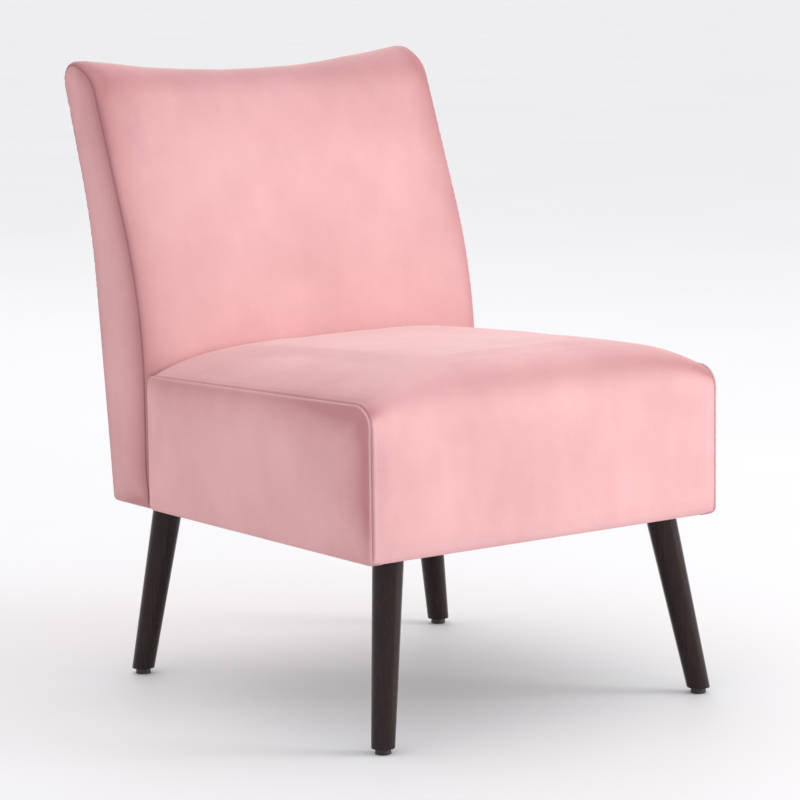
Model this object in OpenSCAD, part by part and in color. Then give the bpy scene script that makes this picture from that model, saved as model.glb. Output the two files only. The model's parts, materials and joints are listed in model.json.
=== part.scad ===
// Armless upholstered accent chair: a bolted seat unit and back unit on four splayed
// turned legs with levelling glides. +Z is up, the chair faces -Y, and the origin is on
// the floor under the middle of the chair. Left is the -X side.

/* [Seat] */
// Width of the chair across the seat and the back
chair_w = 560; // [460:10:720]
// Depth of the seat from its front face to the back
seat_d = 505; // [420:5:620]
// Height of the upholstered underside above the floor
under_h = 240; // [180:5:320]
// Height of the seat's side panels at the front
seat_h = 200; // [180:5:260]
// Fall of the seat from front to back
seat_fall = 17; // [0:1:25]
// Rise of the crown above the seat's side seams
seat_crown = 32; // [15:1:45]
// Power of the crown's curve: higher is flatter in the middle
crown_power = 2.4; // [2:0.1:4]
// Radius of the waterfall front edge
waterfall_r = 62; // [45:1:75]
// Radius of the side panels' front top corner
side_front_r = 30; // [15:1:45]
// Radius of the seat's rear top corner
seat_rear_r = 14; // [8:1:24]

/* [Back] */
// Height of the back's top corners above the floor
chair_h = 832; // [700:4:1000]
// Dip of the top edge in the middle
top_dip = 22; // [0:1:45]
// Radius of the top corners, seen from the front
top_corner_r = 22; // [18:1:40]
// Height of the rounded roll along the top
top_roll_h = 38; // [30:1:50]
// Thickness of the back at the underside
back_t = 94.5; // [88:0.5:130]
// Rake of the front face above its bend, in degrees
front_rake = 21; // [10:1:24]
// Height of the front face's bend above the underside
front_bend_h = 150; // [120:5:200]
// Radius of the front face's bend
front_bend_r = 640; // [400:10:900]
// Rake of the rear face below its bend, in degrees
rear_rake_low = 6.5; // [4:0.5:9]
// Rake of the rear face above its bend, in degrees
rear_rake = 18; // [10:1:21]
// Height of the rear face's bend above the underside
rear_bend_h = 300; // [250:5:350]
// Radius of the rear face's bend
rear_bend_r = 715; // [500:5:900]

/* [Upholstery] */
// Thickness of the velvet with its lining
cover_t = 2; // [1:0.25:3]
// Width of the seat cover's turn under the frame
flange_w = 20; // [12:1:22]
// Thickness of the dust cover
dust_t = 1; // [0.5:0.25:1.5]
// Edge of the dust cover inside the seat's edges
dust_inset = 12; // [8:1:16]
// Thickness of the padding on the sides
side_pad_t = 8; // [4:1:12]
// Thickness of the padding on the front rail
front_pad_t = 10; // [4:1:14]
// Thickness of the foam on the front of the back
back_foam_t = 34; // [20:1:36]
// Thickness of the foam over the back's top rail
top_pad_t = 12; // [8:1:14]
// Thickness of the rear board
board_t = 3; // [2:0.5:5]

/* [Frame] */
// Thickness of the rails and posts
rail_t = 24; // [18:1:26]
// Height of the seat's front and rear rails
rail_h = 108; // [90:1:115]
// Thickness of the back's lower rear rail
rear_rail_t = 18; // [12:1:20]
// Height of the back's lower rear rail
rear_rail_h = 58; // [45:1:80]
// Height of the corner blocks and leg blocks
block_h = 30; // [25:1:40]
// Length of the corner blocks along each rail
block_w = 100; // [80:5:120]
// Height of the back's top rail below the top corners
top_rail_drop = 82; // [70:1:100]
// Height of the back's middle rail
mid_rail_h = 40; // [30:1:50]
// Thickness of the back's middle rail
mid_rail_t = 20; // [16:1:22]

/* [Springs and webbing] */
// Diameter of the spring wire
wire_d = 3.8; // [3:0.1:4.2]
// Distance between a spring's bars
spring_pitch = 22; // [20:1:30]
// Width of a spring over its loops
spring_w = 50; // [45:1:60]
// Distance between springs
spring_gap = 110; // [80:5:115]
// Thickness of the spring clips
clip_t = 1; // [0.6:0.2:1.4]
// Width of the spring clips
clip_w = 14; // [10:1:16]
// Thickness of the spring pad
spring_pad_t = 3; // [2:0.5:4]
// Width of the webbing straps
strap_w = 50; // [40:5:60]
// Thickness of the webbing straps
strap_t = 1.5; // [1:0.25:2]
// Distance between the straps
strap_gap = 88; // [75:1:92]

/* [Legs] */
// Diameter of a leg at its top
leg_top_d = 40; // [34:1:46]
// Diameter of a leg at its tip
leg_tip_d = 30; // [25:1:36]
// Distance of a front leg's top from the chair's side
front_leg_side = 59; // [54:1:75]
// Distance of a rear leg's top from the chair's side
rear_leg_side = 65; // [60:1:75]
// Distance of a front leg's top from the seat's front
front_leg_inset = 46; // [44:1:60]
// Distance of a rear leg's top from the back's front
rear_leg_inset = 52; // [48:1:56]
// Splay of the legs to the sides
side_splay = 37; // [0:1:45]
// Splay of the front legs to the front
front_splay = 35; // [0:1:45]
// Splay of the rear legs to the rear
rear_splay = 18; // [0:1:30]
// Diameter of a glide
glide_d = 20.5; // [18:0.5:26]
// Height of a glide
glide_h = 8; // [7:0.5:12]

/* [Fasteners] */
// Diameter of the bolts, hanger bolts and glide studs
bolt_d = 8; // [6:1:8]
// Clearance around a bolt in its hole
bolt_gap = 0.5; // [0.2:0.1:1]
// Radial clearance of the turning stud
run_gap = 0.05; // [0.03:0.01:0.1]
// Travel of the levelling glides
glide_travel = 10; // [4:1:12]
// Length of a threaded insert
insert_len = 18; // [14:1:22]
// Length of a hanger bolt in the leg
hanger_len = 38; // [30:1:42]
// Diameter of the wood screws
screw_d = 4; // [3.5:0.5:5]
// Length of the wood screws
screw_len = 60; // [50:1:70]

/* [Hidden] */
$fn = 48;
eps = 0.01;
velvet = [0.90, 0.66, 0.68];
foam = [0.94, 0.90, 0.76];
wadding = [0.93, 0.93, 0.91];
timber = [0.80, 0.66, 0.46];
board = [0.55, 0.42, 0.28];
espresso = [0.15, 0.09, 0.07];
steel = [0.62, 0.63, 0.65];
zinc = [0.78, 0.76, 0.66];
webbing = [0.20, 0.20, 0.22];
black = [0.06, 0.06, 0.06];

SPRINGS = 4;
STRAPS = 4;
SIDES = [["left", -1], ["right", 1]];
CORNERS = [["front_left", -1, true], ["front_right", 1, true],
           ["rear_left", -1, false], ["rear_right", 1, false]];

half_w = chair_w / 2;
frame_low = under_h + cover_t;
rail_top = frame_low + rail_h;
pad_gap = 0.2;
foam_low = rail_top + wire_d + 2 * clip_t + pad_gap + spring_pad_t;
leg_h = frame_low - glide_h;
bolt_r = bolt_d / 2;

// The back's side view, as distances behind the back's front face at the underside

// A line that leans by lean0, bends round an arc of radius r from height h, then leans by
// lean1: its offset at height z above the floor
function bent(z, lean0, h, r, lean1) =
    let (z1 = under_h + h,
         z2 = z1 + r * (sin(lean1) - sin(lean0)),
         y1 = h * tan(lean0),
         y2 = y1 + r * (cos(lean0) - cos(lean1)))
    z <= z1 ? (z - under_h) * tan(lean0)
    : z >= z2 ? y2 + (z - z2) * tan(lean1)
    : y1 + r * (cos(lean0) - sqrt(1 - pow(sin(lean0) + (z - z1) / r, 2)));
function front_off(z) = bent(z, 0, front_bend_h, front_bend_r, front_rake);
function rear_off(z) =
    back_t + bent(z, rear_rake_low, rear_bend_h, rear_bend_r, rear_rake);

roll_z = chair_h - top_roll_h;
roll_lean = tan((front_rake + rear_rake) / 2);
roll_half = (rear_off(roll_z) - front_off(roll_z)) / 2;
roll_mid = (rear_off(roll_z) + front_off(roll_z)) / 2;

// The chair's depth, from the front feet or the seat's front to the back's rearmost point
leg_tip_reach = leg_tip_d / 2 * sqrt(1 + pow(front_splay / leg_h, 2));
front_over = max(0, front_splay + leg_tip_reach - front_leg_inset);
rear_reach = roll_mid + sqrt(pow(roll_half, 2) + pow(roll_lean * top_roll_h, 2));
seat_y = front_over - (front_over + seat_d + rear_reach) / 2;
back_y = seat_y + seat_d;

function front_y(z) = back_y + front_off(z);
function rear_y(z) = back_y + rear_off(z);

// Heights at which the back's curves are drawn, so that all its layers share their facets
STATIONS = 16;
function station(n) = under_h + (roll_z - under_h) * n / STATIONS;
function stations_above(low) =
    concat([low], [for (n = [0:STATIONS]) if (station(n) > low) station(n)]);
function reversed(list) = [for (n = [len(list) - 1:-1:0]) list[n]];

// Depths of the frame's faces
pad_x = half_w - cover_t - side_pad_t;
post_x = pad_x - rail_t;
seat_rail_y0 = seat_y + cover_t + front_pad_t;
seat_rail_y1 = back_y - cover_t;
post_front = cover_t + back_foam_t + strap_t;
post_rear = cover_t + board_t;
post_drop = cover_t + top_pad_t;
shelf_z = rail_top + cover_t;
back_rail_y = back_y + cover_t + rail_t;

// The springs: bars across the seat, joined by half rings at alternate ends
rail_mid_y0 = seat_rail_y0 + rail_t / 2;
rail_mid_y1 = seat_rail_y1 - rail_t / 2;
loop_r = spring_pitch / 2;
loops = floor((rail_mid_y1 - rail_mid_y0) / spring_pitch);
spring_y0 = (rail_mid_y0 + rail_mid_y1 - loops * spring_pitch) / 2;
spring_z = rail_top + clip_t + wire_d / 2;
bar_half = spring_w / 2 - wire_d / 2 - loop_r;

bolt_xs = [-half_w + 90, half_w - 90];
bolt_zs = [frame_low + 58, frame_low + 88];
washer_t = 1.6;
washer_r = 11;
nut_r = 9.5;
nut_t = 1.5;
nut_barrel_r = bolt_r + 1;
nut_barrel_h = 10;
bolt_head_h = 5.3;
bolt_head_r = 7.5;
bolt_tail = 6;
insert_r = bolt_r + 2;

// Length of a stud above the leg's tip: it still fills its insert when the glide is lowered
stud_spare = 2;
stud_len = insert_len + glide_travel + stud_spare;

function leg_top(side, front) =
    front ? [side * (half_w - front_leg_side), seat_y + front_leg_inset]
          : [side * (half_w - rear_leg_side), back_y + rear_leg_inset];
function leg_foot(side, front) =
    leg_top(side, front) + [side * side_splay, front ? -front_splay : rear_splay];

// Extrusion of a side view (y, z) between two x values
module extrude_x(x0, x1)
    translate([x0, 0, 0]) rotate([90, 0, 90]) linear_extrude(x1 - x0) children();

// Extrusion of a front view (x, z) between two y values
module extrude_y(y0, y1)
    translate([0, y1, 0]) rotate([90, 0, 0]) linear_extrude(y1 - y0) children();

module block(low, high) translate(low) cube(high - low);

module at_side(side) mirror([side < 0 ? 1 : 0, 0, 0]) children();

// Seat: side view with the insets of its skin, the crown's rise and its corner radii
function seat_top(y) = under_h + seat_h - seat_fall * (y - seat_y) / seat_d;
function seat_section(inset, rise, front_r, rear_r) =
    let (fy = seat_y + front_r, fz = seat_top(fy) + rise - front_r,
         ry = back_y - rear_r, rz = seat_top(ry) + rise - rear_r,
         fr = front_r - inset, rr = rear_r - inset)
    concat([[seat_y + inset, under_h + inset]],
           [for (a = [0:7.5:90]) [fy - fr * cos(a), fz + fr * sin(a)]],
           [for (a = [90:-15:0]) [ry + rr * cos(a), rz + rr * sin(a)]],
           [[back_y - inset, under_h + inset]]);

// Front view of the crown, measured from the side seams' height at the seat's front
function crown_section(inset) =
    concat([[half_w - inset, -under_h], [half_w - inset, -inset]],
           [for (n = [15:-1:-15])
               let (x = n / 16)
               [x * half_w, seat_crown * (1 - pow(abs(x), crown_power)) - inset]],
           [[-half_w + inset, -inset], [-half_w + inset, -under_h]]);

module seat_solid(inset)
    intersection() {
        extrude_x(-half_w + inset, half_w - inset)
            polygon(seat_section(inset, seat_crown, waterfall_r, seat_rear_r));
        translate([0, seat_y, under_h + seat_h]) rotate([-atan(seat_fall / seat_d), 0, 0])
            extrude_y(-seat_d, 2 * seat_d) polygon(crown_section(inset));
    }

// Back: side view with its front, rear and top insets
function back_section(front_in, rear_in, top_in, low) =
    let (mid = back_y + roll_mid + (front_in - rear_in) / 2,
         half = roll_half - (front_in + rear_in) / 2,
         rise = top_roll_h - top_in,
         zs = stations_above(low))
    concat([for (z = zs) [front_y(z) + front_in, z]],
           [for (a = [7.5:7.5:172.5])
               [mid - half * cos(a) + roll_lean * rise * sin(a), roll_z + rise * sin(a)]],
           [for (z = reversed(zs)) [rear_y(z) - rear_in, z]]);

// Back: front view with its side and top insets
function back_outline(side_in, top_in, low) =
    let (cx = half_w - top_corner_r, cz = chair_h - top_corner_r,
         rx = top_corner_r - side_in, rz = top_corner_r - top_in)
    concat([[half_w - side_in, low]],
           [for (a = [0:15:75]) [cx + rx * cos(a), cz + rz * sin(a)]],
           [for (n = [12:-1:-12])
               [cx * n / 12, chair_h - top_in - top_dip * (1 - pow(n / 12, 2))]],
           [for (a = [105:15:180]) [-cx + rx * cos(a), cz + rz * sin(a)]],
           [[-half_w + side_in, low]]);

module back_solid(front_in, rear_in, top_in, side_in, low)
    intersection() {
        extrude_x(-half_w + side_in, half_w - side_in)
            polygon(back_section(front_in, rear_in, top_in, low));
        extrude_y(back_y - eps, back_y + rear_reach + eps)
            polygon(back_outline(side_in, top_in, low));
    }

// All that lies less than depth behind the back's front face
module back_front_zone(depth)
    extrude_x(-half_w - 1, half_w + 1)
        polygon(concat([[back_y - 1, under_h - 1], [front_y(under_h) + depth, under_h - 1]],
                       [for (z = stations_above(under_h)) [front_y(z) + depth, z]],
                       [[front_y(chair_h + 1) + depth, chair_h + 1],
                        [back_y - 1, chair_h + 1]]));

// All that lies less than depth ahead of the back's rear face
module back_rear_zone(depth)
    extrude_x(-half_w - 1, half_w + 1)
        polygon(concat([[rear_y(under_h) - depth, under_h - 1]],
                       [for (z = stations_above(under_h)) [rear_y(z) - depth, z]],
                       [[rear_y(chair_h + 1) - depth, chair_h + 1],
                        [back_y + rear_reach + 1, chair_h + 1],
                        [back_y + rear_reach + 1, under_h - 1]]));

// All of the back below its top padding
module back_frame_zone(side_in, low = frame_low)
    extrude_y(back_y - 1, back_y + rear_reach + 1)
        polygon(back_outline(side_in, post_drop, low));

module slab(z0, z1, x = half_w + 1)
    block([-x, back_y - 1, z0], [x, back_y + rear_reach + 1, z1]);

// Holes and fasteners

module joining_bolt_holes(y0, y1)
    for (x = bolt_xs, z = bolt_zs)
        translate([x, y0, z]) rotate([-90, 0, 0]) cylinder(h = y1 - y0, r = bolt_r + bolt_gap);

module rear_leg_holes(r)
    for (side = [-1, 1])
        translate(concat(leg_top(side, false), 0)) cylinder(h = frame_low, r = r);

// A countersunk screw whose head is flush with x = 0 and whose shank runs to -x
module wood_screw()
    rotate([0, -90, 0]) {
        cylinder(h = screw_len, r = screw_d / 2);
        cylinder(h = screw_d / 2, r1 = screw_d, r2 = screw_d / 2);
    }

seat_screw_zs = [frame_low + 28, frame_low + 83];
module seat_screws()
    for (side = [-1, 1]) at_side(side)
        for (y = [rail_mid_y0, rail_mid_y1], z = seat_screw_zs)
            translate([pad_x, y, z]) wood_screw();

function post_mid(z) = (front_y(z) + post_front + rear_y(z) - post_rear) / 2;
back_screw_places = [
    for (z = [chair_h - top_rail_drop + 16, roll_z - 6]) [post_mid(z), z],
    for (z = [shelf_z + mid_rail_h / 2]) [front_y(z) + post_front + mid_rail_t / 2, z],
    for (z = seat_screw_zs) [back_y + cover_t + rail_t / 2, z],
    for (z = [frame_low + rear_rail_h / 2]) [rear_y(z) - post_rear - rear_rail_t / 2, z]];
module back_screws()
    for (side = [-1, 1]) at_side(side)
        for (p = back_screw_places)
            translate([pad_x, p[0], p[1]]) wood_screw();

// A T-nut whose flange lies on z = 0 with its barrel below
module t_nut(hole_r)
    difference() {
        union() {
            cylinder(h = nut_t, r = nut_r);
            translate([0, 0, -nut_barrel_h]) cylinder(h = nut_barrel_h + eps, r = nut_barrel_r);
        }
        translate([0, 0, -nut_barrel_h - 1]) cylinder(h = nut_barrel_h + nut_t + 2, r = hole_r);
    }

module leg_block_holes(side, front) {
    translate(concat(leg_top(side, front), frame_low - 1))
        cylinder(h = block_h + 2, r = bolt_r);
    translate(concat(leg_top(side, front), frame_low + block_h - nut_barrel_h))
        cylinder(h = nut_barrel_h + 1, r = nut_barrel_r);
}

// Seat frame

module seat_front_rail()
    color(timber) difference() {
        block([-post_x, seat_rail_y0, frame_low], [post_x, seat_rail_y0 + rail_t, rail_top]);
        seat_screws();
    }

module seat_rear_rail()
    color(timber) difference() {
        block([-post_x, seat_rail_y1 - rail_t, frame_low], [post_x, seat_rail_y1, rail_top]);
        seat_screws();
        joining_bolt_holes(seat_rail_y1 - rail_t - 1, seat_rail_y1 + 1);
    }

module seat_side_rail(side)
    color(timber) difference() {
        at_side(side)
            block([post_x, seat_rail_y0, frame_low], [pad_x, seat_rail_y1, foam_low]);
        seat_screws();
    }

module corner_block(side, front)
    color(timber) difference() {
        at_side(side)
            translate([post_x, front ? seat_rail_y0 + rail_t : seat_rail_y1 - rail_t, frame_low])
                rotate([0, 0, front ? 90 : 180])
                    linear_extrude(block_h) polygon([[0, 0], [block_w, 0], [0, block_w]]);
        if (front) leg_block_holes(side, true);
    }

module seat_frame_screws() color(zinc) seat_screws();

// Seat springs and padding

module seat_spring(n)
    color(steel)
        translate([spring_gap * (n - (SPRINGS + 1) / 2), spring_y0, spring_z])
            for (i = [0:loops]) {
                side = (n > SPRINGS / 2 ? 1 : -1) * (i % 2 == 0 ? 1 : -1);
                translate([-bar_half, i * spring_pitch, 0]) rotate([0, 90, 0])
                    cylinder(h = 2 * bar_half, d = wire_d);
                if (i < loops)
                    translate([side * bar_half, (i + 0.5) * spring_pitch, 0])
                        rotate([0, 0, -90 * side]) rotate_extrude(angle = 180)
                            translate([loop_r, 0]) circle(d = wire_d);
            }

module spring_clip()
    difference() {
        union() {
            rotate([0, 90, 0])
                cylinder(h = clip_w, d = wire_d + 2 * clip_t, center = true);
            translate([-clip_w / 2, -8, -wire_d / 2 - clip_t]) cube([clip_w, 16, clip_t]);
        }
        rotate([0, 90, 0]) cylinder(h = clip_w + 2, d = wire_d, center = true);
    }

module spring_clips()
    color(steel)
        for (n = [1:SPRINGS], y = [spring_y0, spring_y0 + loops * spring_pitch])
            translate([spring_gap * (n - (SPRINGS + 1) / 2), y, spring_z]) spring_clip();

module spring_pad()
    color(wadding)
        block([-post_x, seat_rail_y0, foam_low - spring_pad_t], [post_x, seat_rail_y1, foam_low]);

module seat_foam()
    color(foam) intersection() {
        seat_solid(cover_t);
        block([-half_w, seat_y, foam_low], [half_w, back_y, chair_h]);
    }

module seat_front_pad()
    color(wadding)
        block([-half_w + cover_t, seat_y + cover_t, frame_low],
              [half_w - cover_t, seat_rail_y0, foam_low]);

module seat_side_pad(side)
    color(wadding) at_side(side)
        block([pad_x, seat_rail_y0, frame_low], [half_w - cover_t, seat_rail_y1, foam_low]);

// Seat cover

module seat_cover_top()
    color(velvet) difference() {
        intersection() {
            seat_solid(0);
            extrude_y(seat_y - 1, back_y + 1)
                polygon([[-half_w + cover_t, 0], [half_w - cover_t, 0],
                         [half_w - cover_t, chair_h], [-half_w + cover_t, chair_h]]);
        }
        seat_solid(cover_t);
        block([-half_w + cover_t + flange_w, seat_y + cover_t + flange_w, under_h - 1],
              [half_w - cover_t - flange_w, back_y - cover_t - flange_w, frame_low + 1]);
        joining_bolt_holes(back_y - cover_t - 1, back_y + 1);
    }

module seat_cover_side(side)
    color(velvet) at_side(side)
        extrude_x(half_w - cover_t, half_w)
            polygon(seat_section(0, 0, side_front_r, seat_rear_r));

module seat_dust_cover()
    color(black) difference() {
        block([-half_w + dust_inset, seat_y + dust_inset, under_h - dust_t],
              [half_w - dust_inset, back_y - dust_inset, under_h]);
        for (side = [-1, 1])
            translate(concat(leg_top(side, true), under_h - dust_t - 1))
                cylinder(h = dust_t + 2, r = leg_top_d / 2 + 2);
    }

// Back frame

module back_post(side)
    color(timber) difference() {
        intersection() {
            union() {
                back_solid(post_front, post_rear, post_drop, cover_t + side_pad_t, frame_low);
                intersection() {
                    back_solid(cover_t, post_rear, post_drop, cover_t + side_pad_t, frame_low);
                    slab(frame_low, rail_top);
                }
            }
            at_side(side)
                block([post_x, back_y, frame_low], [pad_x, back_y + rear_reach, chair_h]);
        }
        back_screws();
    }

module back_top_rail()
    color(timber) difference() {
        intersection() {
            back_solid(post_front, post_rear, post_drop, cover_t + side_pad_t, frame_low);
            slab(chair_h - top_rail_drop, chair_h, post_x);
        }
        back_screws();
    }

module back_middle_rail()
    color(timber) difference() {
        intersection() {
            back_front_zone(post_front + mid_rail_t);
            slab(shelf_z, shelf_z + mid_rail_h, post_x);
        }
        back_front_zone(post_front);
        back_screws();
    }

module back_lower_front_rail()
    color(timber) difference() {
        block([-post_x, back_y + cover_t, frame_low], [post_x, back_rail_y, rail_top]);
        back_screws();
        joining_bolt_holes(back_y, back_rail_y + 1);
        for (x = bolt_xs, z = bolt_zs)
            translate([x, back_rail_y - nut_barrel_h, z]) rotate([-90, 0, 0])
                cylinder(h = nut_barrel_h + 1, r = nut_barrel_r);
    }

module back_lower_rear_rail()
    color(timber) difference() {
        intersection() {
            back_rear_zone(post_rear + rear_rail_t);
            slab(frame_low, frame_low + rear_rail_h, post_x);
        }
        back_rear_zone(post_rear);
        back_screws();
    }

module back_leg_block(side)
    color(timber) difference() {
        at_side(side)
            block([post_x - block_w, back_rail_y, frame_low],
                  [post_x, back_y + rear_reach, frame_low + block_h]);
        back_rear_zone(post_rear + rear_rail_t);
        leg_block_holes(side, false);
        back_screws();
    }

module back_frame_screws() color(zinc) back_screws();

// Back webbing and padding

module back_straps()
    color(webbing)
        for (n = [0:STRAPS - 1])
            intersection() {
                difference() {
                    back_front_zone(post_front);
                    back_front_zone(post_front - strap_t);
                }
                slab(shelf_z + 50 + n * strap_gap, shelf_z + 50 + n * strap_gap + strap_w,
                     pad_x - 4);
            }

module back_foam()
    color(foam) intersection() {
        back_solid(cover_t, cover_t, cover_t, cover_t, frame_low);
        back_front_zone(cover_t + back_foam_t);
        slab(shelf_z, chair_h);
    }

module back_top_foam()
    color(foam) difference() {
        intersection() {
            back_solid(cover_t, cover_t, cover_t, cover_t, frame_low);
            slab(roll_z - top_corner_r, chair_h);
        }
        back_front_zone(cover_t + back_foam_t);
        back_frame_zone(cover_t);
    }

module back_side_pad(side)
    color(wadding) difference() {
        intersection() {
            back_solid(cover_t, cover_t, cover_t, cover_t, frame_low);
            back_frame_zone(cover_t);
            at_side(side)
                block([pad_x, back_y, frame_low], [half_w, back_y + rear_reach, chair_h]);
        }
        intersection() {
            back_front_zone(cover_t + back_foam_t);
            slab(shelf_z, chair_h);
        }
    }

module back_board()
    color(board) difference() {
        intersection() {
            back_solid(cover_t, cover_t, cover_t, cover_t + side_pad_t, frame_low);
            back_frame_zone(cover_t + side_pad_t);
            back_rear_zone(post_rear);
        }
        back_front_zone(cover_t + back_foam_t);
    }

// Back cover

module back_skin(side_in)
    difference() {
        intersection() {
            back_solid(0, 0, 0, 0, under_h);
            slab(under_h, chair_h, half_w - side_in);
        }
        back_solid(cover_t, cover_t, cover_t, cover_t, frame_low);
        rear_leg_holes(leg_top_d / 2 + 1);
    }

// The rear panel's share of the skin: behind the back's middle, below its top seam
module back_rear_share()
    intersection() {
        extrude_x(-half_w - 1, half_w + 1)
            polygon([for (z = [under_h - 1, under_h + rear_bend_h, chair_h])
                        [(front_y(z) + rear_y(z)) / 2, z],
                     [back_y + rear_reach + 1, chair_h],
                     [back_y + rear_reach + 1, under_h - 1]]);
        slab(under_h - 1, roll_z - 30);
    }

module back_cover_front()
    color(velvet) difference() {
        back_skin(cover_t);
        back_rear_share();
        joining_bolt_holes(back_y - 1, back_y + cover_t + 1);
    }

module back_cover_rear()
    color(velvet) intersection() {
        back_skin(cover_t);
        back_rear_share();
    }

module back_cover_side(side)
    color(velvet) intersection() {
        back_solid(0, 0, 0, 0, under_h);
        at_side(side)
            block([half_w - cover_t, back_y, under_h], [half_w, back_y + rear_reach, chair_h]);
    }

// Fasteners between the seat and the back, and over the legs

module joining_bolts()
    color(steel)
        for (x = bolt_xs, z = bolt_zs)
            translate([x, seat_rail_y1 - rail_t - washer_t, z]) rotate([-90, 0, 0]) {
                cylinder(h = back_rail_y + nut_t + bolt_tail
                             - (seat_rail_y1 - rail_t - washer_t), r = bolt_r);
                translate([0, 0, -bolt_head_h])
                    cylinder(h = bolt_head_h, r = bolt_head_r, $fn = 6);
            }

module joining_washers()
    color(zinc)
        for (x = bolt_xs, z = bolt_zs)
            translate([x, seat_rail_y1 - rail_t - washer_t, z]) rotate([-90, 0, 0])
                difference() {
                    cylinder(h = washer_t, r = washer_r);
                    translate([0, 0, -1]) cylinder(h = washer_t + 2, r = bolt_r);
                }

module t_nuts()
    color(zinc) {
        for (x = bolt_xs, z = bolt_zs)
            translate([x, back_rail_y, z]) rotate([-90, 0, 0]) t_nut(bolt_r);
        for (c = CORNERS)
            translate(concat(leg_top(c[1], c[2]), frame_low + block_h)) t_nut(bolt_r);
    }

module hanger_bolts()
    color(zinc)
        for (c = CORNERS)
            translate(concat(leg_top(c[1], c[2]), frame_low - hanger_len))
                cylinder(h = hanger_len + block_h + nut_t + bolt_tail, r = bolt_r);

// Legs and glides

// Turn of a leg's cone about itself, which takes its seam line off the plane of its lean
seam_turn = 30;

module leg(side, front)
    color(espresso) {
        top = leg_top(side, front);
        foot = leg_foot(side, front);
        run = top - foot;
        lean = atan(norm(run) / leg_h);
        length = norm([run[0], run[1], leg_h]);
        over = 12;
        taper = (leg_top_d - leg_tip_d) / 2 / length;
        difference() {
            intersection() {
                translate(concat(foot, glide_h))
                    rotate([0, lean, atan2(run[1], run[0])]) rotate([0, 0, seam_turn])
                        translate([0, 0, -over])
                            cylinder(h = length + 2 * over, r1 = leg_tip_d / 2 - taper * over,
                                     r2 = leg_top_d / 2 + taper * over);
                block([-chair_w, -seat_d * 2, glide_h], [chair_w, seat_d * 2, frame_low]);
            }
            translate(concat(top, frame_low - hanger_len))
                cylinder(h = hanger_len + 1, r = bolt_r);
            translate(concat(foot, glide_h - 1)) cylinder(h = insert_len + 1, r = insert_r);
            translate(concat(foot, glide_h - 1))
                cylinder(h = stud_len + 3, r = bolt_r + bolt_gap);
        }
    }

module leg_inserts()
    color(zinc)
        for (c = CORNERS)
            translate(concat(leg_foot(c[1], c[2]), glide_h)) difference() {
                cylinder(h = insert_len, r = insert_r);
                translate([0, 0, -1]) cylinder(h = insert_len + 2, r = bolt_r + run_gap);
            }

stud_head_r = 6.5;
stud_head_z = 3;
stud_head_t = 2;
head_gap = 0.3;
glide_taper = 0.7;
glide_round = 1.5;

// A moulded foot with a closed pocket that holds the stud's head
module glide_pad(side, front)
    color(black)
        translate(concat(leg_foot(side, front), 0)) rotate_extrude() polygon(concat(
            [[0, 0]],
            [for (a = [-90:15:0])
                [glide_d / 2 - glide_round + glide_round * cos(a),
                 glide_round + glide_round * sin(a)]],
            [[glide_d / 2 - glide_taper, glide_h - 0.1], [glide_d / 2 - glide_taper - 0.4, glide_h],
             [bolt_r + run_gap, glide_h],
             [bolt_r + run_gap, stud_head_z + stud_head_t + head_gap],
             [stud_head_r + head_gap, stud_head_z + stud_head_t + head_gap],
             [stud_head_r + head_gap, stud_head_z - head_gap],
             [0, stud_head_z - head_gap]]));

module glide_stud(side, front)
    color(zinc)
        translate(concat(leg_foot(side, front), stud_head_z)) rotate_extrude()
            polygon([[0, 0], [stud_head_r, 0], [stud_head_r, stud_head_t],
                     [bolt_r, stud_head_t], [bolt_r, glide_h + stud_len - stud_head_z - 1],
                     [bolt_r - 1, glide_h + stud_len - stud_head_z],
                     [0, glide_h + stud_len - stud_head_z]]);

seat_front_rail();
seat_rear_rail();
spring_clips();
spring_pad();
seat_foam();
seat_front_pad();
seat_cover_top();
seat_dust_cover();
seat_frame_screws();
back_top_rail();
back_middle_rail();
back_lower_front_rail();
back_lower_rear_rail();
back_straps();
back_foam();
back_top_foam();
back_board();
back_cover_front();
back_cover_rear();
back_frame_screws();
joining_bolts();
joining_washers();
t_nuts();
hanger_bolts();
leg_inserts();
for (n = [1:SPRINGS])
    seat_spring(n);
for (s = SIDES) {
    seat_side_rail(s[1]);
    seat_side_pad(s[1]);
    seat_cover_side(s[1]);
    back_post(s[1]);
    back_side_pad(s[1]);
    back_cover_side(s[1]);
    back_leg_block(s[1]);
}
for (c = CORNERS) {
    corner_block(c[1], c[2]);
    leg(c[1], c[2]);
    glide_pad(c[1], c[2]);
    glide_stud(c[1], c[2]);
}
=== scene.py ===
"""Looks of the armless upholstered accent chair: velvet panels sewn over padded forms,
turned legs, glides, and a plain pale studio. Lengths are in metres, in the shared frame."""

import json
import math

import bmesh
import bpy
import numpy as np
from mathutils import Matrix, Vector
from mathutils.bvhtree import BVHTree


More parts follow.
